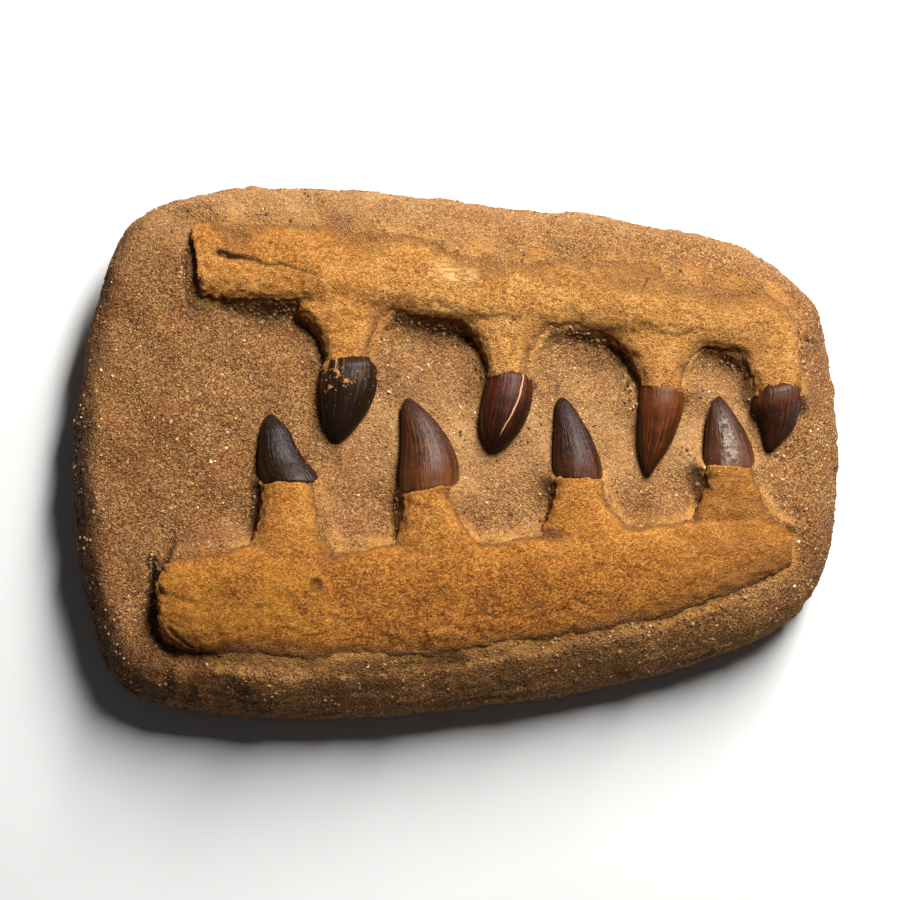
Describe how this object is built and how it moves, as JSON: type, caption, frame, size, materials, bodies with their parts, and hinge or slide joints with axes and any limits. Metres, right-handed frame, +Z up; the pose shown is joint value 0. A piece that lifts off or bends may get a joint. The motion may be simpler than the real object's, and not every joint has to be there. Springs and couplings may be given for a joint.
{
  "type": "fossil mosasaur jaw in sandstone",
  "caption": "Upper and lower jaw bones with large recurved teeth, half sunk in a rounded sandstone block that lies on a flat foot.",
  "frame": {"origin": "middle of the flat foot of the sandstone block", "axes": "+X along the jaws, away from the throat and towards the snout; +Y from the lower jaw to the upper jaw; +Z up, out of the bed that the teeth lie in"},
  "size_m": [0.3402, 0.2369, 0.0607],
  "materials": {
    "sandstone": "coarse, dull, sandy",
    "fossil_bone": "dull ochre, finely striated",
    "tooth_enamel": "glossy dark red-brown, with fine lengthwise ridges"
  },
  "bodies": {
    "root": {"sandstone_block": "sandstone", "upper_jaw": "fossil_bone", "lower_jaw": "fossil_bone"}
  },
  "joints": []
}
